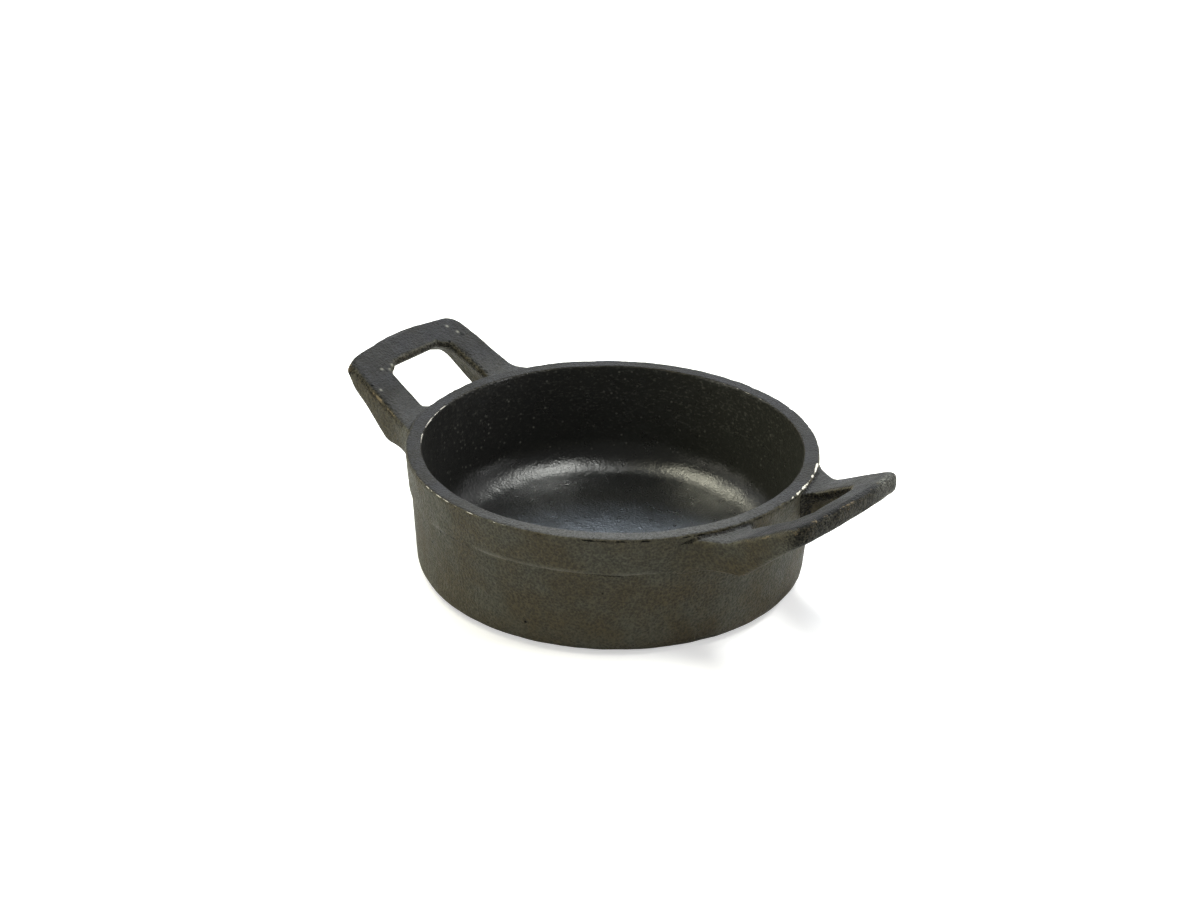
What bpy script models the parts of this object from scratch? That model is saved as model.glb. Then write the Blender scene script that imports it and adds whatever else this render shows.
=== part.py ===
# Mini cast iron dish: a small round sand-cast dish with a thick rim band and two raised loop handles.
# The real thing is one casting. Here it is kept as three pieces: the bowl and its two loop handles.
# Frame: origin at the centre of the flat base, +Z up, handles along +X and -X. All sizes in metres.

import bmesh
import bpy
import numpy as np

for old in list(bpy.data.objects):
    bpy.data.objects.remove(old, do_unlink=True)

# Driving dimensions of the bowl
RIM_RADIUS = 0.0550  # outer edge of the rim
HEIGHT = 0.0349  # flat base to rim top
RIM_WIDTH = 0.0046  # flat ring on top, and the wall's thickness at the mouth
FLOOR_THICKNESS = 0.0046
BAND_HEIGHT = 0.0105  # thick band round the mouth
BAND_TAPER = 0.0010  # how far the band draws in over its height
LEDGE_DEPTH = 0.0005  # step from the band in to the wall
BASE_RADIUS = 0.0516  # where the wall would meet the table without its rounding
BASE_ROUNDING = 0.0044
INNER_TAPER = 0.0014  # mould draft of the inside wall over its depth
FLOOR_FILLET = 0.0090  # inside, wall to floor
RIM_OUTER_ROUNDING = 0.0009
RIM_INNER_ROUNDING = 0.0008

# Driving dimensions of the loop handles
HANDLE_LENGTH = 0.0234  # rim edge to the tip of the loop, seen from above
HANDLE_TILT = 27.0  # degrees, rise of the top face towards the tip
HANDLE_DROP = 0.0015  # top face under the rim top, at the rim edge
TIP_HALF_WIDTH = 0.0217  # half of the loop's width at its tip
ROOT_HALF_WIDTH = 0.0240  # half of the loop's width at the rim edge
TIP_CORNER = 0.0052  # plan rounding of the two outer corners
TIP_BOW = 0.1000  # radius of the gently bowed outer edge
ROOT_FLARE = 0.0160  # concave radius that spreads each strap into the band
FLARE_END = 0.0008  # what the spread still stands out where it stops on the band
STRAP_WIDTH = 0.0101  # the two side straps, top face
BAR_WIDTH = 0.0082  # the outer bar, top face
BAR_THICKNESS = 0.0045  # the outer bar, square to its top face
HOLE_CORNER = 0.0036  # at the bar
HOLE_ROOT_CORNER = 0.0021  # at the band
HOLE_DRAFT = 12.0  # degrees, the hole opens towards its underside
CHIN_REACH = 0.0045  # nearly level part of the underside, beyond the rim edge
CHIN_RISE = 0.0007
CHIN_ROUNDING = 0.0040
UNDERSIDE_RISE = 41.0  # degrees, from the chin out to the bar
KNEE_ROUNDING = 0.0400  # where the underside eases into the bar
ROOT_HOLLOW = 0.0080  # concave rounding of the top face where it leaves the band
EDGE_ROUNDING = 0.0015  # along all long edges of the loop
PIECE_GAP = 0.0003  # between a handle and the bowl

# Fineness of the facets
TURN_STEPS = 96
ARC_STEPS = 5
FLARE_STEPS = 13
EDGE_STEPS = 4

dish = bpy.data.collections.new("mini_cast_iron_dish")
cutters = bpy.data.collections.new("cutters")
cutters.hide_render = True
for collection in (dish, cutters):
    bpy.context.scene.collection.children.link(collection)


def rounded(corners, steps=ARC_STEPS):
    """The outline through (x, y, radius) corners; a rounding stays within its two sides."""
    points = []
    for i, (x, y, radius) in enumerate(corners):
        here = np.array((x, y))
        if radius == 0:
            points.append((x, y))
            continue
        before = np.array(corners[i - 1][:2]) - here
        after = np.array(corners[(i + 1) % len(corners)][:2]) - here
        room = min(np.linalg.norm(before), np.linalg.norm(after))
        before /= np.linalg.norm(before)
        after /= np.linalg.norm(after)
        half = np.arccos(np.clip(before @ after, -1, 1)) / 2
        reach = min(radius / np.tan(half), 0.9 * room)
        centre = here + (before + after) / np.linalg.norm(before + after) * reach / np.cos(half)
        start = here + before * reach - centre
        end = here + after * reach - centre
        first = np.arctan2(start[1], start[0])
        turn = (np.arctan2(end[1], end[0]) - first + np.pi) % (2 * np.pi) - np.pi
        for angle in first + turn * np.linspace(0, 1, steps + 1):
            swung = centre + np.linalg.norm(start) * np.array((np.cos(angle), np.sin(angle)))
            points.append(tuple(swung))
    return points


def object_from(name, data, collection):
    obj = bpy.data.objects.new(name, data)
    collection.objects.link(obj)
    if collection is cutters:
        obj.hide_render = True
        obj.display_type = "WIRE"
    return obj


def turned(name, profile, collection, steps):
    """A Screw about Z of a profile that ends on the axis at both ends."""
    mesh = bpy.data.meshes.new(name)
    edges = [(i, i + 1) for i in range(len(profile) - 1)]
    mesh.from_pydata([(x, 0, z) for x, z in profile], edges, [])
    obj = object_from(name, mesh, collection)
    screw = obj.modifiers.new("turn", "SCREW")
    screw.steps = screw.render_steps = steps
    screw.use_merge_vertices = True
    screw.merge_threshold = 0.00001
    return obj


def lofted(name, loops, collection):
    """A skin through loops of equally many points, left open at the first and closed at the last."""
    skin = bmesh.new()
    rings = [[skin.verts.new(point) for point in loop] for loop in loops]
    for near, far in zip(rings, rings[1:]):
        for i in range(len(near)):
            skin.faces.new((near[i - 1], near[i], far[i], far[i - 1]))
    skin.faces.new(rings[-1])
    bmesh.ops.triangulate(skin, faces=skin.faces)
    bmesh.ops.recalc_face_normals(skin, faces=skin.faces)
    mesh = bpy.data.meshes.new(name)
    skin.to_mesh(mesh)
    skin.free()
    return object_from(name, mesh, collection)


def applied(obj):
    """Keeps the mesh that the modifiers make, in place of the modifiers."""
    mesh = bpy.data.meshes.new_from_object(obj.evaluated_get(bpy.context.evaluated_depsgraph_get()))
    obj.modifiers.clear()
    obj.data = mesh
    return mesh


def cast_iron(name, colour, roughness):
    material = bpy.data.materials.new(name)
    material.use_nodes = True
    shader = material.node_tree.nodes["Principled BSDF"]
    shader.inputs["Base Color"].default_value = (*colour, 1)
    shader.inputs["Metallic"].default_value = 1
    shader.inputs["Roughness"].default_value = roughness
    return material


def shade(mesh, material):
    mesh.materials.clear()
    mesh.materials.append(material)
    mesh.shade_smooth()
    mesh.set_sharp_from_angle(angle=np.radians(38))


# The bowl: one turned section, from the middle of the floor up the inside, over the rim and down the outside
band_low = HEIGHT - BAND_HEIGHT
band_low_radius = RIM_RADIUS - BAND_TAPER
inner_radius = RIM_RADIUS - RIM_WIDTH
bowl_section = rounded(
    [
        (0, FLOOR_THICKNESS, 0),
        (inner_radius - INNER_TAPER, FLOOR_THICKNESS, FLOOR_FILLET),
        (inner_radius, HEIGHT, RIM_INNER_ROUNDING),
        (RIM_RADIUS, HEIGHT, RIM_OUTER_ROUNDING),
        (band_low_radius, band_low, LEDGE_DEPTH * 0.6),
        (band_low_radius - LEDGE_DEPTH, band_low - LEDGE_DEPTH * 0.3, 0),
        (BASE_RADIUS, 0, BASE_ROUNDING),
        (0, 0, 0),
    ]
)
bowl = turned("bowl", bowl_section, dish, TURN_STEPS)

# What a handle's root is cut by: the band's own taper, grown by the gap between the pieces
band_slope = BAND_TAPER / BAND_HEIGHT
cut_high = HEIGHT + HANDLE_LENGTH
cut_low = band_low - HANDLE_LENGTH
band_cutter = turned(
    "band_cutter",
    [
        (0, cut_high),
        (RIM_RADIUS + PIECE_GAP + band_slope * (cut_high - HEIGHT), cut_high),
        (RIM_RADIUS + PIECE_GAP - band_slope * (HEIGHT - cut_low), cut_low),
        (0, cut_low),
    ],
    cutters,
    2 * TURN_STEPS,
)

# The handle in side view: the top face is level at the rim, then tilted up; the underside has a chin
# under the root, climbs more steeply than the top face and eases into the bar at the knee
rise = np.tan(np.radians(HANDLE_TILT))
under_rise = np.tan(np.radians(UNDERSIDE_RISE))
tip = RIM_RADIUS + HANDLE_LENGTH
top_z = HEIGHT - HANDLE_DROP
bar_drop = BAR_THICKNESS / np.cos(np.radians(HANDLE_TILT))
chin = (RIM_RADIUS + CHIN_REACH, band_low + CHIN_RISE)
knee_x = (top_z - bar_drop - rise * RIM_RADIUS - chin[1] + under_rise * chin[0]) / (under_rise - rise)
knee = (knee_x, chin[1] + under_rise * (knee_x - chin[0]))
beyond = max(tip, knee_x) + HANDLE_LENGTH
top_line = rounded(
    [
        (0, top_z, 0),
        (RIM_RADIUS, top_z, ROOT_HOLLOW),
        (beyond, top_z + rise * (beyond - RIM_RADIUS), 0),
    ]
)
under_line = rounded(
    [
        (0, band_low, 0),
        (*chin, CHIN_ROUNDING),
        (*knee, KNEE_ROUNDING),
        (beyond, knee[1] + rise * (beyond - knee[0]), 0),
    ]
)


def top_at(x):
    return np.interp(x, *zip(*top_line))


def under_at(x):
    return np.interp(x, *zip(*under_line))


# The handle in plan: bowed tip, rounded corners, straight straps that widen a little, concave flares at the
# root. All of it is drawn for the half at +Y, and the other half is its mirror image.
strap_slope = (ROOT_HALF_WIDTH - TIP_HALF_WIDTH) / HANDLE_LENGTH
inwards = np.array((-1, strap_slope)) / np.hypot(1, strap_slope)
outwards = np.array((strap_slope, 1)) / np.hypot(1, strap_slope)
strap_across = outwards * STRAP_WIDTH * outwards[1]


def strap_edge(x):
    return TIP_HALF_WIDTH + strap_slope * (tip - x)


def bow(y):
    return tip - TIP_BOW + np.sqrt(TIP_BOW**2 - y**2)


# The hole's corner: its centre, where the corner starts on the bar and where it ends on the strap
hole_end = tip - BAR_WIDTH
pivot = np.array((hole_end - HOLE_CORNER, 0))
pivot[1] = strap_edge(pivot[0]) - STRAP_WIDTH - HOLE_CORNER / outwards[1]

# The flare's circle touches the strap's edge and all but touches the rim's circle
beside = np.array((tip, TIP_HALF_WIDTH)) + outwards * ROOT_FLARE
clear = RIM_RADIUS + FLARE_END + ROOT_FLARE
flare_reach = beside @ inwards
flare_centre = beside - inwards * (flare_reach + np.sqrt(flare_reach**2 - beside @ beside + clear**2))
flare_first = np.arctan2(-outwards[1], -outwards[0])
flare_last = np.arctan2(-flare_centre[1], -flare_centre[0])
flare_start = flare_centre - outwards * ROOT_FLARE

# The hole's corner at the band: a circle that touches the strap's inner edge and the rim's circle
root_beside = flare_start - strap_across - outwards * HOLE_ROOT_CORNER
root_reach = root_beside @ inwards
root_clear = RIM_RADIUS + HOLE_ROOT_CORNER
root_chord = np.sqrt(root_reach**2 - root_beside @ root_beside + root_clear**2)
root_corner = root_beside - inwards * (root_reach + root_chord)


def hole_edge_at(point):
    """A point of the strap's inner edge, moved into the hole where the corner at the band rounds it."""
    past = np.clip((point - root_corner) @ inwards, 0, HOLE_ROOT_CORNER)
    return point - outwards * (HOLE_ROOT_CORNER - np.sqrt(HOLE_ROOT_CORNER**2 - past**2))


# Stations along the half loop, each a point on the outer edge, the hole's edge across from it and the
# direction away from the hole there: along the bar, round the corner, along the strap, through the flare
bar_end = np.array((bow(pivot[1]), pivot[1]))
corner_x = bow(TIP_HALF_WIDTH)
corner_top = (corner_x, strap_edge(corner_x))
strap_start = pivot + outwards * HOLE_CORNER + strap_across
round_corner = rounded([(*bar_end, 0), (*corner_top, TIP_CORNER), (*strap_start, 0)])
stations = [((bow(y), y), (hole_end, y), (1, 0)) for y in np.linspace(0, pivot[1], ARC_STEPS)]
for point in round_corner[1:]:
    ray = np.array(point) - pivot
    ray /= np.linalg.norm(ray)
    stations.append((point, pivot + ray * HOLE_CORNER, ray))
bends = [x for x, _ in under_line if flare_start[0] < x < strap_start[0] - PIECE_GAP]
for x in reversed(bends):
    edge = np.array((x, strap_edge(x)))
    stations.append((edge, hole_edge_at(edge - strap_across), outwards))
for share in np.linspace(0, 1, FLARE_STEPS + 1) ** 2:
    angle = flare_first + (flare_last - flare_first) * share
    into = np.array((np.cos(angle), np.sin(angle)))
    edge = flare_centre + into * ROOT_FLARE
    across = (edge - flare_start + strap_across) @ outwards / (-into @ outwards)
    stations.append((edge, hole_edge_at(edge + into * across), outwards))

# The hole's wall is square to the tilted top face but for its draft
along_top = (np.cos(np.radians(HANDLE_TILT)), np.sin(np.radians(HANDLE_TILT)))
draft = np.tan(np.radians(HOLE_DRAFT))


def hole_low(top, away):
    """The foot, on the underside, of the hole's wall below this point of its upper edge."""
    step = np.array((away[0] * draft + along_top[1], away[1] * draft, away[0] * draft * rise - along_top[0]))
    if away is outwards:
        step -= step[0] * np.array((1, -strap_slope, rise))
    short, long = 0, HEIGHT
    for _ in range(40):
        middle = (short + long) / 2
        point = top + step * middle
        if point[2] > under_at(point[0]):
            short = middle
        else:
            long = middle
    return top + step * short


def between(one, other, level, count):
    """Points that divide the way from one point to another, laid on a face of this level."""
    inner = [one + (other - one) * k / count for k in range(1, count)]
    return [np.array((p[0], p[1], level(p[0]))) for p in inner]


def softened(before, corner, after):
    """The arc that rounds a section's corner between the middles of its two sides."""
    one, other = before - corner, after - corner
    room = min(np.linalg.norm(one), np.linalg.norm(other))
    one /= np.linalg.norm(one)
    other /= np.linalg.norm(other)
    half = np.arccos(np.clip(one @ other, -1, 1)) / 2
    reach = min(EDGE_ROUNDING / np.tan(half), 0.9 * room)
    centre = corner + (one + other) / np.linalg.norm(one + other) * reach / np.cos(half)
    start, end = corner + one * reach - centre, corner + other * reach - centre
    turn = np.pi - 2 * half
    parts = np.linspace(0, 1, EDGE_STEPS + 1)
    return [centre + (np.sin((1 - t) * turn) * start + np.sin(t * turn) * end) / np.sin(turn) for t in parts]


def loop_section(edge, hole_edge, away):
    """The loop's section at a station: outer wall, underside, the hole's wall and the top face."""
    outer_top = np.array((*edge, top_at(edge[0])))
    outer_low = np.array((*edge, under_at(edge[0])))
    inner_top = np.array((*hole_edge, top_at(hole_edge[0])))
    inner_low = hole_low(inner_top, away)
    wall = (outer_top + outer_low) / 2
    hole_wall = (inner_top + inner_low) / 2
    top = between(outer_top, inner_top, top_at, 2)[0]
    under = between(outer_low, inner_low, under_at, 2)[0]
    over = softened(top, outer_top, wall)
    down = softened(wall, outer_low, under)
    back = softened(under, inner_low, hole_wall)
    up = softened(hole_wall, inner_top, top)
    low_face = between(down[-1], back[0], under_at, 4)
    top_face = between(up[-1], over[0], top_at, 5)
    return [*over, *down, *low_face, *back, *up, *top_face]


# The handle itself: half a loop, mirrored, then its root cut to the band
handle = lofted("loop_handle_right", [loop_section(*station) for station in stations], dish)
mirror = handle.modifiers.new("other half", "MIRROR")
mirror.use_axis = (False, True, False)
mirror.merge_threshold = 0.00001
root_cut = handle.modifiers.new("root cut", "BOOLEAN")
root_cut.operation = "DIFFERENCE"
root_cut.solver = "EXACT"
root_cut.object = band_cutter

shade(applied(bowl), cast_iron("bowl_iron", (0.060, 0.062, 0.058), 0.45))
shade(applied(handle), cast_iron("right_handle_iron", (0.085, 0.085, 0.083), 0.50))

# The handle at -X is the same shape, turned half round
twin = object_from("loop_handle_left", handle.data.copy(), dish)
twin.rotation_euler = (0, 0, np.pi)
twin.data.materials.clear()
twin.data.materials.append(cast_iron("left_handle_iron", (0.085, 0.085, 0.083), 0.50))
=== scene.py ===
# The looks of the mini cast iron dish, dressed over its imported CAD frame. Metres, +Z up, handles along X.

import bmesh
import bpy
import numpy as np
from mathutils import Matrix, Vector, noise


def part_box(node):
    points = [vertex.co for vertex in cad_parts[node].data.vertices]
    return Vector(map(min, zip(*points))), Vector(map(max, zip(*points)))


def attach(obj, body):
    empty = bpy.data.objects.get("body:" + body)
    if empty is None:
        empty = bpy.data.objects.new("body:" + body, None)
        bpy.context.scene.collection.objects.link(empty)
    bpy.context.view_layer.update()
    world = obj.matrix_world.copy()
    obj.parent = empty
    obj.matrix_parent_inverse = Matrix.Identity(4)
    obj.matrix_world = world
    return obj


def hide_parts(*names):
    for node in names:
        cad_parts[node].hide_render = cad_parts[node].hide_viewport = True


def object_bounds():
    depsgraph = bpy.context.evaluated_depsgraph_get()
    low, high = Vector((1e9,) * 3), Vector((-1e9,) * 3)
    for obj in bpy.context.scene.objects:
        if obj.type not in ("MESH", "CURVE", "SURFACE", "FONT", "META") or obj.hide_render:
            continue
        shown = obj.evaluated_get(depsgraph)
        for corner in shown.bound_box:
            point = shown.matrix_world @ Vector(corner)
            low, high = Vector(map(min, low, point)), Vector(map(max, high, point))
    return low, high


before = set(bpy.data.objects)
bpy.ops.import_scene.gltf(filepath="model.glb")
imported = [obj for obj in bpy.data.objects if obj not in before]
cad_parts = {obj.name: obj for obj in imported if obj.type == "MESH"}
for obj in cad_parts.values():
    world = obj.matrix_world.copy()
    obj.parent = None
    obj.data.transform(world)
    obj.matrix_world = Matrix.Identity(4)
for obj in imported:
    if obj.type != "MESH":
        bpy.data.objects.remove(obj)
box_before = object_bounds()

# The bowl
# The dish is grey iron, poured in green sand in one piece with its band and both loops. The mould's halves
# met under the band, so a soft, uneven seam runs round there. The rim's edges are ragged and rubbed bright.
MM = 0.001
DISH_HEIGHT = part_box("bowl")[1].z
RIM_RADIUS = 55.0 * MM
RIM_WIDTH = 4.6 * MM
FLOOR_THICKNESS = 4.6 * MM
BAND_HEIGHT = 10.5 * MM
BAND_TAPER = 1.0 * MM
LEDGE_DEPTH = 0.5 * MM
LEDGE_DROP = 0.15 * MM  # how far the ledge slopes down on its way in to the wall
BASE_RADIUS = 51.6 * MM
INNER_TAPER = 1.4 * MM
INNER_FILLET = 9.0 * MM
INNER_RIM_ROUNDING = 0.8 * MM
OUTER_RIM_ROUNDING = 0.9 * MM
LEDGE_ROUNDING = 0.3 * MM
BASE_ROUNDING = 4.4 * MM
RAGGED_EDGE = 2.0 * MM  # strip under the rim with fine facets, for its chips
AROUND = 640  # facets round the dish, about 0.54 mm each at the rim
ARC_FACET = 0.8 * MM  # the longest facet along a rounding
ARC_FACETS = 7  # the fewest facets along a rounding

# Unevenness that the mould and the years have left
LEDGE_REACH = 1.2 * MM  # how far above and below the ledge it shows
LEDGE_WOBBLE = 0.30 * MM
SEAM_STAND = 0.35 * MM
CHIP_DEPTH = 0.30 * MM
GROOVE_DEPTH = 0.15 * MM
TORN_REACH = 0.6 * MM
SCALE_AND_SHADE_TOP = 0.35 * MM  # baked-on scale and painted shade sit between these depths under the rim
SCALE_AND_SHADE_FOOT = 1.0 * MM

band_low = DISH_HEIGHT - BAND_HEIGHT
band_low_radius = RIM_RADIUS - BAND_TAPER
inner_radius = RIM_RADIUS - RIM_WIDTH
ragged_radius = RIM_RADIUS - BAND_TAPER * RAGGED_EDGE / BAND_HEIGHT

# Corners of the section: radius, height, rounding, facet length on the way to the next corner
bowl_corners = [
    (0, FLOOR_THICKNESS, 0, 2.0 * MM),
    (inner_radius - INNER_TAPER, FLOOR_THICKNESS, INNER_FILLET, 1.0 * MM),
    (inner_radius, DISH_HEIGHT, INNER_RIM_ROUNDING, 0.8 * MM),
    (RIM_RADIUS, DISH_HEIGHT, OUTER_RIM_ROUNDING, 0.3 * MM),
    (ragged_radius, DISH_HEIGHT - RAGGED_EDGE, 0, 0.9 * MM),
    (band_low_radius, band_low, LEDGE_ROUNDING, 0.3 * MM),
    (band_low_radius - LEDGE_DEPTH, band_low - LEDGE_DROP, 0, 0.9 * MM),
    (BASE_RADIUS, 0, BASE_ROUNDING, 3.0 * MM),
    (0, 0, 0, 1),
]

# Stretches of the rim, in degrees from the right handle: some that other dishes and tools have marked, one
# with scale and painted shade, one with a painted sheen
OUTER_RUBBED = [(-122, -74), (150, 170)]
INNER_RUBBED = [(174, 236)]
INNER_DULL = [(66, 96)]  # rubbed less than the rest
BATTERED = [(3, 34)]  # here the whole rounding has been knocked bright
SCALE_AND_SHADE_STRETCHES = [(-80, 40)]  # here the ragged edge holds baked-on scale and painted shade
SHEEN_STRETCHES = [(-108, 12)]  # here the top faces are painted paler, a painted sheen
SHEEN_FADE = 45  # degrees over which the painted sheen comes in from either end

# Each kind of unevenness round the dish: about how many lumps a turn has, and a seed
WOBBLES = (26, 5.0)
SEAM_LUMPS = (40, 9.0)
PALE_SEAM_LUMPS = (30, 11.0)
# lumps of the painted shade under the ledge
LEDGE_SHADE_LUMPS = (20, 4.0)
CHIPS = (130, 3.0)
FINE_CHIPS = (260, 7.0)
TEARS = (210, 8.0)
RUBS = (150, 6.0)
CAKES = (50, 1.0)
FINE_CAKES = (170, 2.0)


def rounded_corner(corner, before, after, rounding):
    """Points round one corner, each with how far round it lies: 0 at both ends, 1 in the middle."""
    back = (before - corner) / np.linalg.norm(before - corner)
    onward = (after - corner) / np.linalg.norm(after - corner)
    half = np.arccos(back @ onward) / 2
    centre = corner + (back + onward) / np.linalg.norm(back + onward) * rounding / np.sin(half)
    start = corner + back * rounding / np.tan(half) - centre
    end = corner + onward * rounding / np.tan(half) - centre
    turn = np.pi - 2 * half
    arc = []
    for t in np.linspace(0, 1, max(ARC_FACETS, int(rounding * turn / ARC_FACET))):
        swung = (np.sin((1 - t) * turn) * start + np.sin(t * turn) * end) / np.sin(turn)
        arc.append((centre + swung, 4 * t * (1 - t)))
    return arc


def section_line(corners):
    """Points along a section whose corners are rounded, and how far round a rim corner each one is."""
    points = []
    bends = []
    for i, (x, z, rounding, _) in enumerate(corners):
        here = np.array((x, z))
        arc = [(here, 0)]
        if rounding:
            arc = rounded_corner(here, np.array(corners[i - 1][:2]), np.array(corners[i + 1][:2]), rounding)
        if points:
            last = points[-1]
            run = arc[0][0] - last
            steps = max(1, int(np.linalg.norm(run) / corners[i - 1][3]))
            for k in range(1, steps):
                points.append(last + run * k / steps)
                bends.append(0)
        for point, bend in arc:
            points.append(point)
            bends.append(bend if z == DISH_HEIGHT else 0)
    return points, bends


def round_noise(angle, lumps, seed):
    """Smooth noise from -1 to 1 round the dish, with about this many lumps in a turn."""
    reach = lumps / (2 * np.pi)
    return noise.noise(Vector((reach * np.cos(angle), reach * np.sin(angle), seed)))


def within(angle, stretches, soft=5):
    """How far inside one of these stretches, in degrees, an angle in radians lies, from 0 to 1."""
    best = 0
    for first, last in stretches:
        past = (np.degrees(angle) - first) % 360
        best = max(best, min(past / soft, (last - first - past) / soft))
    return min(best, 1)


def piece_from(name, mesh):
    """An object of the dish that rides on its one body."""
    piece = bpy.data.objects.new(name, mesh)
    bpy.context.scene.collection.objects.link(piece)
    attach(piece, "root")
    return piece


bowl_mesh = bmesh.new()
wear = bowl_mesh.verts.layers.float.new("worn_edge")
scale_and_shade_layer = bowl_mesh.verts.layers.float.new("scale_and_painted_shade")
sheen_layer = bowl_mesh.verts.layers.float.new("painted_sheen_top")
pale_mark_layer = bowl_mesh.verts.layers.float.new("pale_mark_and_highlight")
rings = []
for (ring_radius, ring_height), bend in zip(*section_line(bowl_corners)):
    if ring_radius < 1e-6:
        rings.append([bowl_mesh.verts.new((0, 0, ring_height))])
        continue
    outside = ring_radius > inner_radius + 0.5 * RIM_WIDTH
    below_rim = DISH_HEIGHT - ring_height
    near_ledge = np.exp(-(((ring_height - band_low) / LEDGE_REACH) ** 2)) if outside else 0
    # the strip under the rim's outer edge that gets baked-on scale and painted shade, darkening its groove
    in_scale_and_shade = np.clip((below_rim - SCALE_AND_SHADE_TOP) / (0.2 * MM), 0, 1)
    in_scale_and_shade *= np.clip((SCALE_AND_SHADE_FOOT - below_rim) / (0.3 * MM), 0, 1)
    inner_keen = max(0, bend - 0.82) / 0.18
    outer_keen = max(0, bend - 0.9) / 0.1
    ring = []
    for k in range(AROUND):
        angle = 2 * np.pi * k / AROUND
        r, z = ring_radius, ring_height
        rubbed = within(angle, INNER_RUBBED, 20) * (1.25 + 1.2 * round_noise(angle, *RUBS))
        worn = inner_keen * max(rubbed, 0.8 * within(angle, INNER_DULL))
        scale_and_shade_amount = 0
        pale_seam = 0
        if near_ledge > 0.01:  # the seam runs up and down and stands out, with a paler line along it and painted shade under it
            z += LEDGE_WOBBLE * near_ledge * round_noise(angle, *WOBBLES)
            r += SEAM_STAND * near_ledge**6 * max(0, round_noise(angle, *SEAM_LUMPS) - 0.05)
            if ring_height > band_low - 0.1 * MM:
                pale_seam = 0.26 * near_ledge**3 * max(0, 0.5 + 2.0 * round_noise(angle, *PALE_SEAM_LUMPS))
            else:
                scale_and_shade_amount = 0.6 * near_ledge**2 * max(0, 0.7 + round_noise(angle, *LEDGE_SHADE_LUMPS))
        if outside and below_rim < RAGGED_EDGE:  # the outer edge is chipped, rubbed, torn bright, and caked with scale and painted shade
            chip = max(0, round_noise(angle, *CHIPS) - 0.10) + 0.5 * max(0, round_noise(angle, *FINE_CHIPS))
            r -= CHIP_DEPTH * chip * bend
            z -= 0.7 * CHIP_DEPTH * chip * bend
            torn = np.clip(1.4 - below_rim / TORN_REACH, 0, 1) * bend
            torn *= 1.1 + 1.6 * round_noise(angle, *TEARS)
            worn = max(0.88 * outer_keen * within(angle, OUTER_RUBBED), torn * within(angle, BATTERED, 6))
            caked_and_shaded = 0.50 + 0.8 * round_noise(angle, *CAKES) + 0.8 * round_noise(angle, *FINE_CAKES)
            scale_and_shade_amount = in_scale_and_shade * within(angle, SCALE_AND_SHADE_STRETCHES, 12) * min(0.8, max(0, caked_and_shaded))
            r -= GROOVE_DEPTH * scale_and_shade_amount
        vert = bowl_mesh.verts.new((r * np.cos(angle), r * np.sin(angle), z))
        vert[wear] = worn
        vert[scale_and_shade_layer] = scale_and_shade_amount
        # painted sheen on the rim's top at the front
        vert[sheen_layer] = within(angle, SHEEN_STRETCHES, SHEEN_FADE)
        vert[pale_mark_layer] = pale_seam
        ring.append(vert)
    rings.append(ring)
for one, other in zip(rings, rings[1:]):
    for k in range(AROUND):
        after = (k + 1) % AROUND
        if len(one) == 1:
            bowl_mesh.faces.new((one[0], other[k], other[after]))
        elif len(other) == 1:
            bowl_mesh.faces.new((one[k], other[0], one[after]))
        else:
            bowl_mesh.faces.new((one[k], other[k], other[after], one[after]))
bmesh.ops.recalc_face_normals(bowl_mesh, faces=bowl_mesh.faces)
mesh = bpy.data.meshes.new("cast_bowl")
bowl_mesh.to_mesh(mesh)
bowl_mesh.free()
mesh.shade_smooth()
bowl = piece_from("cast_bowl", mesh)
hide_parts("bowl")


SWELL_DEPTH = 0.35 * MM
SWELL_SIZE = 8 * MM


def swell(piece, level):
    """The slow unevenness that the rammed sand leaves in every face. Noise at this level stays in place."""
    texture = bpy.data.textures.new(piece.name + "_swell", "CLOUDS")
    texture.noise_scale = SWELL_SIZE
    texture.noise_depth = 2
    modifier = piece.modifiers.new("sand swell", "DISPLACE")
    modifier.texture = texture
    modifier.texture_coords = "GLOBAL"
    modifier.strength = SWELL_DEPTH
    modifier.mid_level = level


swell(bowl, 0.82)


def linear(code):
    """An sRGB hex colour as linear RGBA."""
    channels = [int(code[i : i + 2], 16) / 255 for i in (1, 3, 5)]
    return [c / 12.92 if c <= 0.04045 else ((c + 0.055) / 1.055) ** 2.4 for c in channels] + [1]


def add_node(tree, kind, inputs=None, **settings):
    """Adds a node. An input is a value, a socket, or a node, which gives the first output that it uses."""
    node = tree.nodes.new(kind)
    for name, value in settings.items():
        setattr(node, name, value)
    for name, value in (inputs or {}).items():
        if isinstance(value, bpy.types.Node):
            value = next(output for output in value.outputs if output.enabled)
        if isinstance(value, bpy.types.NodeSocket):
            tree.links.new(value, node.inputs[name])
        else:
            node.inputs[name].default_value = value
    return node


# Seasoned grey iron, as cast in green sand. Oil baked on the inside makes it nearly black and satin, the
# outside is drier and olive brown, top faces are painted darker and greyer as painted shade, and rubbed edges
# show bare metal.
# The sand's own grains of 0.2 to 0.3 mm are too fine to show, so they are drawn coarser, as grit and as
# grains.
GRIT_SIZE = 0.55 * MM
GRAIN_SIZE = 0.8 * MM
BLOTCH_SIZE = 3.5 * MM
PATCH_SIZE = 11 * MM
iron = bpy.data.materials.new("seasoned_grey_iron")
iron.use_nodes = True
tree = iron.node_tree
shader = tree.nodes["Principled BSDF"]
place = add_node(tree, "ShaderNodeTexCoord").outputs["Object"]
height = add_node(tree, "ShaderNodeSeparateXYZ", {0: place}).outputs["Z"]
normal = add_node(tree, "ShaderNodeNewGeometry").outputs["Normal"]
facing_up = add_node(tree, "ShaderNodeSeparateXYZ", {0: normal}).outputs["Z"]
flat_place = add_node(tree, "ShaderNodeVectorMath", {0: place, 1: (1, 1, 0)}, operation="MULTIPLY")
radius = add_node(tree, "ShaderNodeVectorMath", {0: flat_place}, operation="LENGTH").outputs["Value"]

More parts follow.
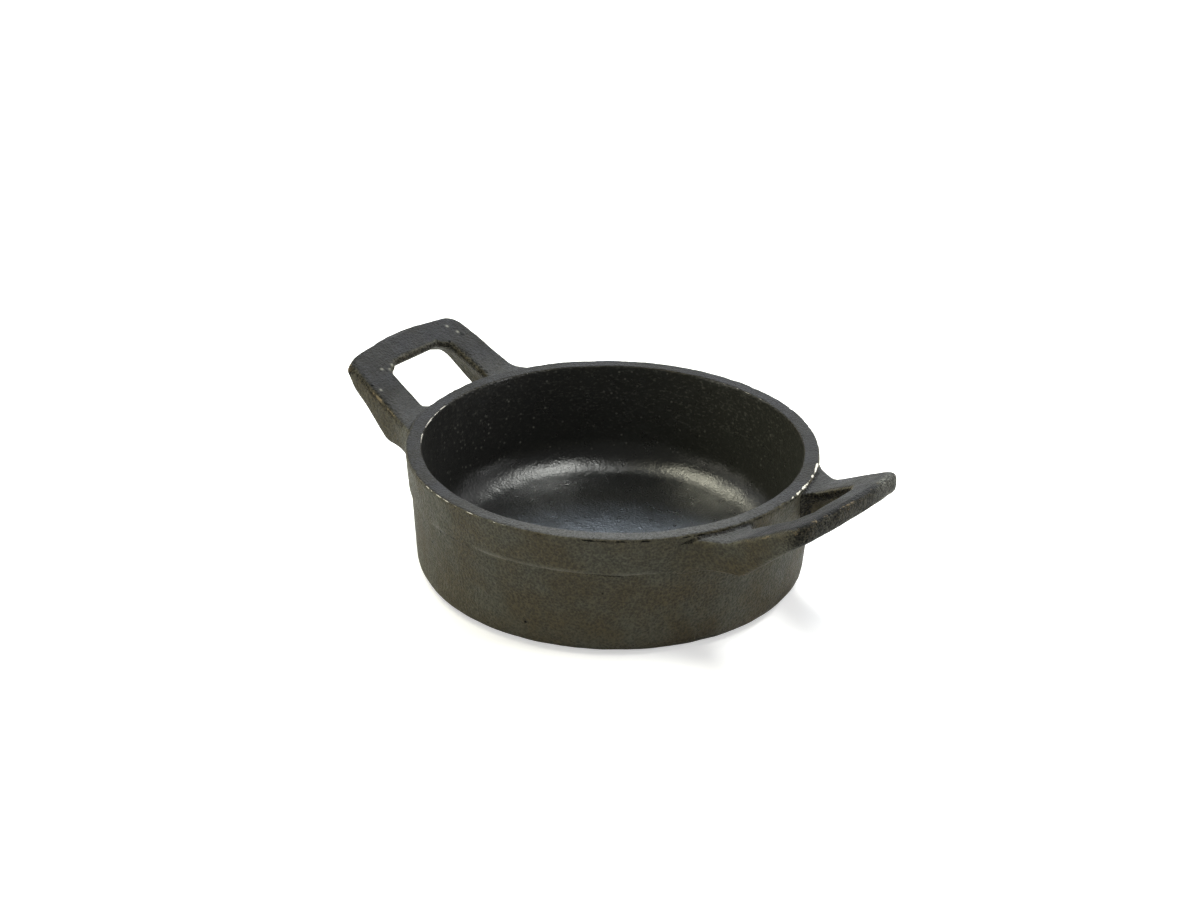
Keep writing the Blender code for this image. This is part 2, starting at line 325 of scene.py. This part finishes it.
# Where the surface is: inside the dish, and on faces that look up
within_wall = add_node(
    tree,
    "ShaderNodeMapRange",
    {"Value": radius, "From Min": inner_radius + 0.5 * MM, "From Max": inner_radius},
    interpolation_type="SMOOTHSTEP",
)
above_floor = add_node(
    tree,
    "ShaderNodeMapRange",
    {"Value": height, "From Min": 0.4 * FLOOR_THICKNESS, "From Max": 0.6 * FLOOR_THICKNESS},
)
inside = add_node(tree, "ShaderNodeMath", {0: within_wall, 1: above_floor}, operation="MULTIPLY")
on_top = add_node(
    tree,
    "ShaderNodeMapRange",
    {"Value": facing_up, "From Min": 0.70, "From Max": 0.88},
    interpolation_type="SMOOTHSTEP",
)

# Noise, from patches as broad as a thumb down to single grains of grit
patches = add_node(tree, "ShaderNodeTexNoise", {"Vector": place, "Scale": 1 / PATCH_SIZE, "Detail": 3})
blotches = add_node(
    tree, "ShaderNodeTexNoise", {"Vector": place, "Scale": 1 / BLOTCH_SIZE, "Detail": 3, "Roughness": 0.6}
)
grit = add_node(
    tree, "ShaderNodeTexNoise", {"Vector": place, "Scale": 1 / GRIT_SIZE, "Detail": 4, "Roughness": 0.65}
)
grains = add_node(
    tree,
    "ShaderNodeTexVoronoi",
    {"Vector": place, "Scale": 1 / GRAIN_SIZE, "Smoothness": 0.4},
    feature="SMOOTH_F1",
)

# Colour of the outside skin: olive brown with greyer patches, darker in the hollows that hold soot, less so
# near the foot, painted paler there as painted light against the shade by the floor. Top faces get darker,
# greyer paint as painted shade, and paler paint at the front and the roots, a painted sheen.
patch_share = add_node(tree, "ShaderNodeMapRange", {"Value": patches, "From Min": 0.38, "From Max": 0.62})
skin = add_node(
    tree,
    "ShaderNodeMix",
    {"Factor": patch_share, "A": linear("#453f2e"), "B": linear("#48473c")},
    data_type="RGBA",
)
hollows = add_node(tree, "ShaderNodeMath", {0: grains, 1: -0.35, 2: grit}, operation="MULTIPLY_ADD")
hollow_share = add_node(
    tree, "ShaderNodeMapRange", {"Value": hollows, "From Min": 0.18, "From Max": 0.44, "To Max": 0.66}
)
# painted light: the skin is painted paler towards the foot
painted_light_foot = add_node(
    tree, "ShaderNodeMapRange", {"Value": height, "From Min": 16 * MM, "From Max": 3 * MM, "To Max": 0.20}
)
hollow_share = add_node(tree, "ShaderNodeMath", {0: hollow_share, 1: painted_light_foot}, operation="SUBTRACT")
skin = add_node(
    tree, "ShaderNodeMix", {"Factor": hollow_share, "A": skin, "B": linear("#201e18")}, data_type="RGBA"
)
# painted shade: top faces get darker, greyer paint than the sides, against the light that falls on them
top_share = add_node(tree, "ShaderNodeMapRange", {"Value": grit, "From Min": 0.36, "From Max": 0.64})
top_tint = add_node(
    tree,
    "ShaderNodeMix",
    {"Factor": patch_share, "A": linear("#1a1812"), "B": linear("#212126")},
    data_type="RGBA",
)
top_skin = add_node(
    tree,
    "ShaderNodeMix",
    {"Factor": top_share, "A": top_tint, "B": linear("#121111")},
    data_type="RGBA",
)
# painted sheen: paler paint on top faces at the front of the dish and at the loops' roots
painted_sheen = add_node(tree, "ShaderNodeAttribute", attribute_name="painted_sheen_top").outputs["Fac"]
sheen_skin = add_node(
    tree,
    "ShaderNodeMix",
    {"Factor": top_share, "A": linear("#4e4e4e"), "B": linear("#2b2b2b")},
    data_type="RGBA",
)
top_skin = add_node(
    tree, "ShaderNodeMix", {"Factor": painted_sheen, "A": top_skin, "B": sheen_skin}, data_type="RGBA"
)
colour = add_node(tree, "ShaderNodeMix", {"Factor": on_top, "A": skin, "B": top_skin}, data_type="RGBA")

# Colour of the inside: baked oil, paler and browner to the right, with paler grey dabs high up the wall,
# painted darker on the floor as painted shade, and with pale flecks that are painted glints of single grains.
DAB_SIZE = 1.1 * MM
FLECK_SPACING = 1.5 * MM
across = add_node(tree, "ShaderNodeSeparateXYZ", {0: place}).outputs["X"]
toward_right = add_node(
    tree, "ShaderNodeMapRange", {"Value": across, "From Min": -0.9 * inner_radius, "From Max": 0.0}
)
wall_oil = add_node(
    tree,
    "ShaderNodeMix",
    {"Factor": toward_right, "A": linear("#1f1f1e"), "B": linear("#2e2f29")},
    data_type="RGBA",
)
smeared = add_node(tree, "ShaderNodeVectorMath", {0: place, 1: (1.0, 1.0, 1.8)}, operation="MULTIPLY")
dabs = add_node(
    tree, "ShaderNodeTexNoise", {"Vector": smeared, "Scale": 1 / DAB_SIZE, "Detail": 2, "Roughness": 0.5}
)
pale_dabs = add_node(
    tree, "ShaderNodeMapRange", {"Value": dabs, "From Min": 0.54, "From Max": 0.72, "To Max": 0.6}
)
bald_place = add_node(
    tree,
    "ShaderNodeMapRange",
    {"Value": height, "From Min": 0.25 * DISH_HEIGHT, "From Max": 0.75 * DISH_HEIGHT},
)
pale_dabs = add_node(tree, "ShaderNodeMath", {0: pale_dabs, 1: bald_place}, operation="MULTIPLY")
mottled = add_node(tree, "ShaderNodeMapRange", {"Value": toward_right, "To Min": 0.4})
pale_dabs = add_node(tree, "ShaderNodeMath", {0: pale_dabs, 1: mottled}, operation="MULTIPLY")
wall_oil = add_node(
    tree, "ShaderNodeMix", {"Factor": pale_dabs, "A": wall_oil, "B": linear("#62625a")}, data_type="RGBA"
)
# painted shade: the floor, which faces up, is painted darker than the walls
oil_with_floor_shade = add_node(
    tree,
    "ShaderNodeMix",
    {"Factor": facing_up, "A": wall_oil, "B": linear("#0e0f0f")},
    data_type="RGBA",
    clamp_factor=True,
)
colour = add_node(tree, "ShaderNodeMix", {"Factor": inside, "A": colour, "B": oil_with_floor_shade}, data_type="RGBA")
# painted glints: pale flecks, strongest on the inside walls and faint everywhere else
fleck_cells = add_node(tree, "ShaderNodeTexVoronoi", {"Vector": place, "Scale": 1 / FLECK_SPACING})
fleck_core = add_node(
    tree,
    "ShaderNodeMapRange",
    {"Value": fleck_cells.outputs["Distance"], "From Min": 0.30, "From Max": 0.08},
)
fleck_pick = add_node(tree, "ShaderNodeSeparateColor", {0: fleck_cells.outputs["Color"]})
fleck_strength = add_node(
    tree, "ShaderNodeMapRange", {"Value": fleck_pick, "From Min": 0.60, "From Max": 1.0, "To Max": 0.40}
)
fleck_share = add_node(tree, "ShaderNodeMath", {0: fleck_core, 1: fleck_strength}, operation="MULTIPLY")
fleck_place = add_node(
    tree, "ShaderNodeMapRange", {"Value": facing_up, "From Min": 0.5, "From Max": 0.2, "To Min": 0.0}
)
fleck_place = add_node(tree, "ShaderNodeMath", {0: fleck_place, 1: inside}, operation="MULTIPLY")
fleck_place = add_node(tree, "ShaderNodeMath", {0: fleck_place, 1: 0.06}, operation="MAXIMUM")
fleck_share = add_node(tree, "ShaderNodeMath", {0: fleck_share, 1: fleck_place}, operation="MULTIPLY")
# pale marks: sand specks, a paler line along the seam, and a painted highlight on the right loop's tip
pale_marks_and_highlights = add_node(tree, "ShaderNodeAttribute", attribute_name="pale_mark_and_highlight").outputs["Fac"]
fleck_share = add_node(tree, "ShaderNodeMath", {0: fleck_share, 1: pale_marks_and_highlights}, operation="MAXIMUM")
colour = add_node(
    tree, "ShaderNodeMix", {"Factor": fleck_share, "A": colour, "B": linear("#8f8f86")}, data_type="RGBA"
)

# Pits of 1 mm, far apart on the outside, where a clump of sand stuck to the iron and fell out
PIT_SPACING = 9 * MM
pit_cells = add_node(
    tree, "ShaderNodeTexVoronoi", {"Vector": place, "Scale": 1 / PIT_SPACING, "Randomness": 1.0}
)
pits = add_node(
    tree,
    "ShaderNodeMapRange",
    {"Value": pit_cells.outputs["Distance"], "From Min": 0.06, "From Max": 0.03},
    interpolation_type="SMOOTHSTEP",
)
uncoated = add_node(tree, "ShaderNodeMath", {0: 1.0, 1: inside}, operation="SUBTRACT")
pits = add_node(tree, "ShaderNodeMath", {0: pits, 1: uncoated}, operation="MULTIPLY")

# Black scale baked into the ragged edge, the burr and the pits, and painted shade in the ragged edge, under
# the ledge, in the corners at the loops' roots, on the walls of the holes and along the left loop's edges
scale_and_shade = add_node(tree, "ShaderNodeAttribute", attribute_name="scale_and_painted_shade").outputs["Fac"]
scale_and_shade_share = add_node(tree, "ShaderNodeMath", {0: scale_and_shade, 1: grit}, operation="ADD")
scale_and_shade_share = add_node(tree, "ShaderNodeMapRange", {"Value": scale_and_shade_share, "From Min": 0.80, "From Max": 1.15})
scale_and_shade_share = add_node(tree, "ShaderNodeMath", {0: scale_and_shade_share, 1: pits}, operation="MAXIMUM")
colour = add_node(
    tree, "ShaderNodeMix", {"Factor": scale_and_shade_share, "A": colour, "B": linear("#0f0f0e")}, data_type="RGBA"
)

# Bare metal on the rubbed edges, broken up by the grit: pale on the rim, brassy on the loops
worn = add_node(tree, "ShaderNodeAttribute", attribute_name="worn_edge").outputs["Fac"]
rub = add_node(
    tree, "ShaderNodeMapRange", {"Value": blotches, "From Min": 0.40, "From Max": 0.60, "To Min": 0.35}
)
rub = add_node(tree, "ShaderNodeMath", {0: rub, 1: worn}, operation="MULTIPLY")
rub = add_node(tree, "ShaderNodeMath", {0: rub, 1: grit}, operation="ADD")
bare = add_node(tree, "ShaderNodeMapRange", {"Value": rub, "From Min": 1.02, "From Max": 1.20})
on_loop = add_node(
    tree,
    "ShaderNodeMapRange",
    {"Value": radius, "From Min": RIM_RADIUS + 0.3 * MM, "From Max": RIM_RADIUS + 1.0 * MM},
)
bare_colour = add_node(
    tree,
    "ShaderNodeMix",
    {"Factor": on_loop, "A": linear("#dcd8cc"), "B": linear("#6f6450")},
    data_type="RGBA",
)
colour = add_node(tree, "ShaderNodeMix", {"Factor": bare, "A": colour, "B": bare_colour}, data_type="RGBA")
# the scale and the painted shade turn metallic and near black, so that they reflect little
metal_share = add_node(tree, "ShaderNodeMath", {0: bare, 1: scale_and_shade_share}, operation="MAXIMUM")
metal_share = add_node(tree, "ShaderNodeMath", {0: metal_share, 1: 0.85}, operation="MULTIPLY")
tree.links.new(next(output for output in colour.outputs if output.enabled), shader.inputs["Base Color"])
tree.links.new(metal_share.outputs[0], shader.inputs["Metallic"])

# Gloss: a satin film of oil inside, over it a clear baked coat, and a drier skin outside
film = add_node(
    tree,
    "ShaderNodeMapRange",
    {"Value": blotches, "From Min": 0.3, "From Max": 0.7, "To Min": 0.26, "To Max": 0.34},
)
dry = add_node(
    tree,
    "ShaderNodeMapRange",
    {"Value": blotches, "From Min": 0.3, "From Max": 0.7, "To Min": 0.50, "To Max": 0.62},
)
gloss = add_node(tree, "ShaderNodeMix", {"Factor": inside, "A": dry, "B": film}, data_type="FLOAT")
tree.links.new(gloss.outputs["Result"], shader.inputs["Roughness"])
shader.inputs["Specular IOR Level"].default_value = 0.2
tree.links.new(inside.outputs[0], shader.inputs["Coat Weight"])
shader.inputs["Coat Roughness"].default_value = 0.25

# Relief of the grains, with finer grit on top and the pits cut in. Baked oil has filled it on the inside.
RELIEF_DEPTH = 0.22 * MM
relief = add_node(tree, "ShaderNodeMath", {0: grains, 1: 0.7, 2: grit}, operation="MULTIPLY_ADD")
relief = add_node(tree, "ShaderNodeMath", {0: pits, 1: -1.2, 2: relief}, operation="MULTIPLY_ADD")
filled = add_node(tree, "ShaderNodeMapRange", {"Value": inside, "To Min": 1.6, "To Max": 0.36})
relief = add_node(tree, "ShaderNodeMath", {0: relief, 1: filled}, operation="MULTIPLY")
bump = add_node(tree, "ShaderNodeBump", {"Height": relief, "Distance": RELIEF_DEPTH, "Strength": 1.0})
tree.links.new(bump.outputs["Normal"], shader.inputs["Normal"])
tree.links.new(bump.outputs["Normal"], shader.inputs["Coat Normal"])
bowl.data.materials.append(iron)

# The loop handles
# Each loop is cast in one with the bowl: a tilted plate with a drafted hole, spread into the band at its
# root. The CAD solid is run on into the band here, rounded as sand rounds it, and filleted along the band.
HANDLE_TILT = np.radians(27.0)
HANDLE_DROP = 1.5 * MM  # top face under the rim, at the rim's edge
BAR_THICKNESS = 4.5 * MM
HOLE_END = 70.2 * MM
HOLE_HALF_WIDTH = 11.6 * MM  # at its outer end
HOLE_SPREAD = 0.13  # how much wider each side gets per length towards the band
ROOT_GAP = 0.3 * MM
ROOT_RUN_ON = 1.6 * MM
VOXEL = 0.30 * MM
LIP = 1.5 * MM  # how far the top face grows into the hole, where loose sand let the iron in
LIP_REACH = 4.0 * MM
FLARE_FADE = 11.0  # degrees round the dish over which the spread dies out on the band
FLARE_STAND = 1.8 * MM
FILLET = 1.3 * MM
TOP_FILLET = 0.45 * MM
SHRUNK = 0.20 * MM  # what the rounding takes off the faces, given back below

# A burr on the left loop's near tip corner, in mm
BURR_PLACE = (-74.8, -21.3, 41.0)
BURR_REACH = 1.7
BURR_STAND = 0.8

# Marks on the top faces, seen from above: place in mm, and reach in mm where a third number stands
SAND_MARKS = [(-72.9, 16.0), (-70.2, 17.4), (-69.3, -10.7), (-68.3, -12.6), (-69.2, -14.8), (-64.2, -20.7)]
SAND_MARK_REACH = 0.35
SAND_PIT = (-69.0, 17.9)
SAND_PIT_REACH = 0.7
RUBBED_SPOTS = [(-61.0, -24.0, 7.0), (63.0, -21.5, 7.0)]
# a painted highlight on the rounded edge of the right loop's near tip
TIP_HIGHLIGHT = (77.5, 15.0, 4.0)

DARKER_FROM = 68 * MM  # the right loop's bar is darker from here outwards
DARKER_FADE = 7 * MM
CORNER_SHADE_REACH = 0.8 * MM  # how far up the root's corner the painted shade reaches
ROOT_SHEEN = 0.35  # how much painted sheen the top faces have at the roots
SHEEN_REACH = 5 * MM


def applied(piece):
    """Gives the piece the mesh that its modifiers make."""
    made = bpy.data.meshes.new_from_object(piece.evaluated_get(bpy.context.evaluated_depsgraph_get()))
    piece.modifiers.clear()
    piece.data = made


def smoothed(piece, times):
    """Rounds the piece as soft sand does."""
    modifier = piece.modifiers.new("soft sand", "SMOOTH")
    modifier.factor = 0.5
    modifier.iterations = times
    applied(piece)


def places_of(mesh):
    """The points of a mesh, one to a row."""
    values = np.empty(len(mesh.vertices) * 3, np.float32)
    mesh.vertices.foreach_get("co", values)
    return values.reshape(-1, 3).astype(float)


def put_places(mesh, places):
    """Moves the points of a mesh to these places."""
    mesh.vertices.foreach_set("co", places.astype(np.float32).ravel())
    mesh.update()


def normals_of(mesh):
    """The way each point of a mesh faces."""
    values = np.empty(len(mesh.vertices) * 3, np.float32)
    mesh.vertex_normals.foreach_get("vector", values)
    return values.reshape(-1, 3).astype(float)


def put_shares(mesh, name, shares):
    """Keeps a share from 0 to 1 at each point of a mesh, for the iron to read."""
    mesh.attributes.new(name, "FLOAT", "POINT").data.foreach_set("value", shares.astype(np.float32))


def off_band(places):
    """How far each point stands out from the band's tapered face."""
    band_face = RIM_RADIUS - (DISH_HEIGHT - places[:, 2]) * BAND_TAPER / BAND_HEIGHT
    return np.hypot(places[:, 0], places[:, 1]) - band_face


def degrees_round(places):
    """How far round the dish each point is from the middle of its loop, in degrees."""
    return np.degrees(np.arctan2(np.abs(places[:, 1]), np.abs(places[:, 0])))


def past_hole(places):
    """How far each point is beyond the hole's end, and to the side of it. Both are negative in the hole."""
    beyond = np.abs(places[:, 0]) - HOLE_END
    beside = np.abs(places[:, 1]) - HOLE_HALF_WIDTH + beyond * HOLE_SPREAD
    return beyond, beside


def from_spot(places, spot):
    """How far each point is from a spot, in mm, seen from above."""
    return np.hypot(places[:, 0] / MM - spot[0], places[:, 1] / MM - spot[1])


def near_spot(places, spot):
    """1 at a spot, falling to 0 at 1.6 times its reach."""
    return np.clip(1.6 - from_spot(places, spot) / spot[2], 0, 1)


def slide_out(places, amount):
    """Moves points away from the dish's axis."""
    radius = np.hypot(places[:, 0], places[:, 1])
    places[:, :2] *= (1 + amount / radius)[:, None]


def grow_lip(loop):
    """Grows the top face into the hole, along its own tilted plane."""
    places = places_of(loop.data)
    top_face = DISH_HEIGHT - HANDLE_DROP + (np.abs(places[:, 0]) - RIM_RADIUS) * np.tan(HANDLE_TILT)
    near_top = np.clip(1 - (top_face - places[:, 2]) * np.cos(HANDLE_TILT) / BAR_THICKNESS, 0, 1)
    for axis, past in enumerate(past_hole(places)):
        near_hole = np.clip(1 - past / LIP_REACH, 0, 1) * np.clip(1 + past / (0.75 * LIP_REACH), 0, 1)
        shift = LIP * near_top * near_hole
        places[:, axis] -= np.sign(places[:, axis]) * shift
        if axis == 0:
            places[:, 2] -= shift * np.tan(HANDLE_TILT)
    put_places(loop.data, places)


def feather_flares(loop, flare_end):
    """Sinks the ends of the flares into the band."""
    places = places_of(loop.data)
    fade = np.clip(1 - (flare_end - degrees_round(places)) / FLARE_FADE, 0, 1)
    slide_out(places, -FLARE_STAND * fade**2)
    put_places(loop.data, places)


def fillet_root(loop):
    """Fills the corner between the loop and the band, less at the top face than elsewhere."""
    places = places_of(loop.data)
    normals = normals_of(loop.data)
    out = places * (1, 1, 0)
    out /= np.linalg.norm(out, axis=1)[:, None]
    along_band = normals - out * (normals * out).sum(1)[:, None]
    along_band /= np.maximum(np.linalg.norm(along_band, axis=1), 1e-6)[:, None]
    reach = np.where(along_band[:, 2] > 0.5, TOP_FILLET, FILLET)
    near = np.clip(1 - off_band(places) / reach, 0, 1)
    places += along_band * (reach * (1 - np.sqrt(1 - near**2)))[:, None]
    put_places(loop.data, places)


def edge_height(loop):
    """How far each point would sink if the loop were rounded well off: far on edges, hardly on flats."""
    blunt = loop.copy()
    blunt.data = loop.data.copy()
    bpy.context.scene.collection.objects.link(blunt)
    smoothed(blunt, 24)
    lost = ((places_of(loop.data) - places_of(blunt.data)) * normals_of(loop.data)).sum(1)
    bpy.data.objects.remove(blunt, do_unlink=True)
    return lost


def weather(loop, from_burr):
    """Marks where the loop is rubbed bright, baked black, painted with shade, painted with a highlight at a
    tip, specked with sand and painted with a sheen.
    """
    places = places_of(loop.data)
    normals = normals_of(loop.data)
    lost = edge_height(loop)
    edge = np.clip(lost / (0.16 * MM), 0, 1)
    soft_edge = np.clip(lost / (0.06 * MM), 0, 1)
    clear = np.clip(off_band(places) / (1.5 * MM) - 1, 0, 1)
    loop_side = np.sign(places[:, 0])
    beyond, beside = past_hole(places)
    up_share = normals[:, 2] * np.cos(HANDLE_TILT) - loop_side * normals[:, 0] * np.sin(HANDLE_TILT)

    hole_edge = (beyond < MM) & (np.abs(places[:, 1]) < HOLE_HALF_WIDTH + 2.5 * MM)
    top_edge = soft_edge * np.exp(-(((up_share - 0.6) / 0.3) ** 2))
    spots = np.max([near_spot(places, spot) for spot in RUBBED_SPOTS], axis=0)
    rubbed = np.maximum(np.minimum(edge, np.where(hole_edge, 0.35, 0.70)), 0.84 * top_edge * spots)
    put_shares(loop.data, "worn_edge", clear * rubbed)

    # painted shade in the corner between the band and the loop's top faces
    corner_shade = 0.52 * np.clip(1.5 - off_band(places) / CORNER_SHADE_REACH, 0, 1) * (normals[:, 2] > 0.3)
    darker_bar = 0.55 * np.clip((places[:, 0] - DARKER_FROM) / DARKER_FADE, 0, 1)
    burnt = 0.9 * np.exp(-((from_burr / 1.1) ** 2))
    pit = np.exp(-((from_spot(places, SAND_PIT) / SAND_PIT_REACH) ** 2))
    # painted shade on the walls of the hole
    in_hole = (beyond < 0.5 * MM) & (beside < 0.5 * MM) & (up_share < 0.7)
    hole_wall_shade = in_hole * np.where(loop_side > 0, 0.55, 0.40)
    # painted shade along the left loop's edges
    left_edge_shade = np.where(loop_side < 0, 0.45, 0) * soft_edge * clear
    scale_and_shade = np.max([corner_shade, darker_bar, burnt, pit, hole_wall_shade, left_edge_shade], axis=0)
    put_shares(loop.data, "scale_and_painted_shade", scale_and_shade)

    # painted highlight on the right loop's tip edge, then the sand specks
    pale_marks_and_highlights = 0.7 * near_spot(places, TIP_HIGHLIGHT) * soft_edge
    for spot in SAND_MARKS:
        speck = 0.8 * np.exp(-((from_spot(places, spot) / SAND_MARK_REACH) ** 2)) * (normals[:, 2] > 0.5)
        pale_marks_and_highlights = np.maximum(pale_marks_and_highlights, speck)
    put_shares(loop.data, "pale_mark_and_highlight", pale_marks_and_highlights)

    # painted sheen on the top faces, strongest at the front and near the roots
    turns = np.arctan2(places[:, 1], places[:, 0])
    painted_sheen = np.array([max(ROOT_SHEEN, within(turn, SHEEN_STRETCHES, SHEEN_FADE)) for turn in turns])
    put_shares(loop.data, "painted_sheen_top", painted_sheen * np.clip(2 - off_band(places) / SHEEN_REACH, 0, 1))


def cast_loop(node, name):
    """One loop handle, from the CAD solid of this node."""
    solid = bmesh.new()
    solid.from_mesh(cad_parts[node].data)
    bmesh.ops.remove_doubles(solid, verts=solid.verts, dist=0.01 * MM)
    skin = bpy.data.meshes.new(name)
    solid.to_mesh(skin)
    solid.free()
    places = places_of(skin)
    flare_end = degrees_round(places).max()
    root = off_band(places) < ROOT_GAP + 0.1 * MM
    slide_out(places, np.where(root, -ROOT_RUN_ON, 0))
    put_places(skin, places)
    loop = piece_from(name, skin)
    remesh = loop.modifiers.new("sand mould", "REMESH")
    remesh.mode = "VOXEL"
    remesh.voxel_size = VOXEL
    applied(loop)
    grow_lip(loop)
    smoothed(loop, 4)
    feather_flares(loop, flare_end)
    fillet_root(loop)
    smoothed(loop, 2)
    places = places_of(loop.data)
    from_burr = np.linalg.norm(places / MM - BURR_PLACE, axis=1) / BURR_REACH
    stand = SHRUNK + BURR_STAND * MM * np.exp(-(from_burr**2))
    put_places(loop.data, places + normals_of(loop.data) * stand[:, None])
    swell(loop, 0.5)
    applied(loop)
    put_places(loop.data, np.clip(places_of(loop.data), *box_before))
    weather(loop, from_burr)
    loop.data.shade_smooth()
    loop.data.materials.append(iron)
    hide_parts(node)
    return loop


right_loop = cast_loop("loop_handle_right", "cast_loop_right")
left_loop = cast_loop("loop_handle_left", "cast_loop_left")

# The studio
# A pale sheet of paper lies under and behind the dish. It looks white to the camera and keeps the dish's soft
# shadow. White surroundings and a few soft boxes light the dish.
FLOOR_REACH = 4.0
PAPER_GLOW = 0.50  # what the camera alone sees on top of the light that falls on the paper
LAMP_DISTANCE = 1.2

floor_corners = [(x * FLOOR_REACH, y * FLOOR_REACH, 0) for x, y in ((-1, -1), (1, -1), (1, 1), (-1, 1))]
paper_sheet = bpy.data.meshes.new("floor")
paper_sheet.from_pydata(floor_corners, [], [(0, 1, 2, 3)])
floor = bpy.data.objects.new("floor", paper_sheet)
bpy.context.scene.collection.objects.link(floor)
paper = bpy.data.materials.new("white_paper")
paper.use_nodes = True
paper_shader = paper.node_tree.nodes["Principled BSDF"]
paper_shader.inputs["Base Color"].default_value = linear("#e8e8e8")
paper_shader.inputs["Roughness"].default_value = 0.9
paper_shader.inputs["Specular IOR Level"].default_value = 0.0
paper_shader.inputs["Emission Color"].default_value = (1, 1, 1, 1)
paper_rays = add_node(paper.node_tree, "ShaderNodeLightPath").outputs["Is Camera Ray"]
glow = add_node(paper.node_tree, "ShaderNodeMath", {0: paper_rays, 1: PAPER_GLOW}, operation="MULTIPLY")
paper.node_tree.links.new(glow.outputs[0], paper_shader.inputs["Emission Strength"])
floor.data.materials.append(paper)

# The photograph's camera, fitted to the rims, the base and both handles
CAMERA_PLACE = Vector((0.42032, -0.53401, 0.36131))
CAMERA_RIGHT = Vector((0.77698, 0.62926, 0.01864))
CAMERA_UP = Vector((-0.28680, 0.32745, 0.90029))
lens = bpy.data.cameras.new("camera")
lens.lens = 85.53
lens.sensor_width = 36
lens.clip_start = 0.01
camera = bpy.data.objects.new("camera", lens)
bpy.context.scene.collection.objects.link(camera)
turned = Matrix((CAMERA_RIGHT, CAMERA_UP, CAMERA_RIGHT.cross(CAMERA_UP))).transposed()
camera.matrix_world = Matrix.Translation(CAMERA_PLACE) @ turned.to_4x4()
bpy.context.scene.camera = camera

away = (Vector((0, 0, CAMERA_PLACE.z)) - CAMERA_PLACE).normalized()
right = Vector((away.y, -away.x, 0))

# White paper stands behind the dish and the room in front of it is dim. The camera sees only white.
studio = bpy.data.worlds.new("studio")
bpy.context.scene.world = studio
studio.use_nodes = True
room = studio.node_tree
rays = add_node(room, "ShaderNodeLightPath")
direction = add_node(room, "ShaderNodeTexCoord").outputs["Generated"]
behind = add_node(
    room, "ShaderNodeVectorMath", {0: direction, 1: tuple(away)}, operation="DOT_PRODUCT"
).outputs["Value"]
paper_share = add_node(
    room,
    "ShaderNodeMapRange",
    {"Value": behind, "From Min": -0.3, "From Max": 0.4},
    interpolation_type="SMOOTHSTEP",
)
lit = add_node(room, "ShaderNodeMapRange", {"Value": paper_share, "To Min": 0.25, "To Max": 0.65})
mirrored = add_node(room, "ShaderNodeMapRange", {"Value": paper_share, "To Min": 0.12, "To Max": 1.0})
level = add_node(
    room,
    "ShaderNodeMix",
    {"Factor": rays.outputs["Is Glossy Ray"], "A": lit, "B": mirrored},
    data_type="FLOAT",
)
level = add_node(room, "ShaderNodeMath", {0: level, 1: rays.outputs["Is Camera Ray"]}, operation="MAXIMUM")
backdrop = room.nodes["Background"]
backdrop.inputs["Color"].default_value = (1, 1, 1, 1)
room.links.new(level.outputs[0], backdrop.inputs["Strength"])


def soft_box(name, towards, size, power, colour):
    """A lamp aimed at the dish from the direction (right, away, up). Its size is level, then upright."""
    lamp = bpy.data.lights.new(name, "AREA")
    lamp.shape = "RECTANGLE"
    lamp.size, lamp.size_y = size
    lamp.energy = power
    lamp.color = colour
    box = bpy.data.objects.new(name, lamp)
    bpy.context.scene.collection.objects.link(box)
    way = right * towards[0] + away * towards[1] + Vector((0, 0, towards[2]))
    box.location = way.normalized() * LAMP_DISTANCE
    box.rotation_euler = box.location.to_track_quat("Z", "Y").to_euler()


soft_box("over_right", (0.29, 0.11, 0.95), (1.0, 0.2), 12.5, (0.98, 1.0, 0.95))
soft_box("over_left", (-0.43, 0.22, 0.88), (1.0, 0.2), 10.4, (1.0, 0.98, 0.76))
soft_box("back_high", (0.0, 0.72, 0.70), (0.5, 0.4), 3.5, (0.70, 0.84, 1.0))
soft_box("back_low", (0.05, 0.88, 0.46), (0.5, 0.5), 1.0, (0.85, 0.93, 1.0))
soft_box("back_right", (0.60, 0.62, 0.42), (0.15, 0.15), 3.0, (0.97, 0.98, 1.0))
soft_box("left_fill", (-0.95, -0.25, 0.18), (0.8, 0.6), 4.5, (1.0, 0.97, 0.84))
soft_box("right_fill", (0.95, -0.15, 0.20), (0.4, 0.4), 4.0, (1.0, 1.0, 1.0))
bpy.context.scene.view_settings.view_transform = "Standard"
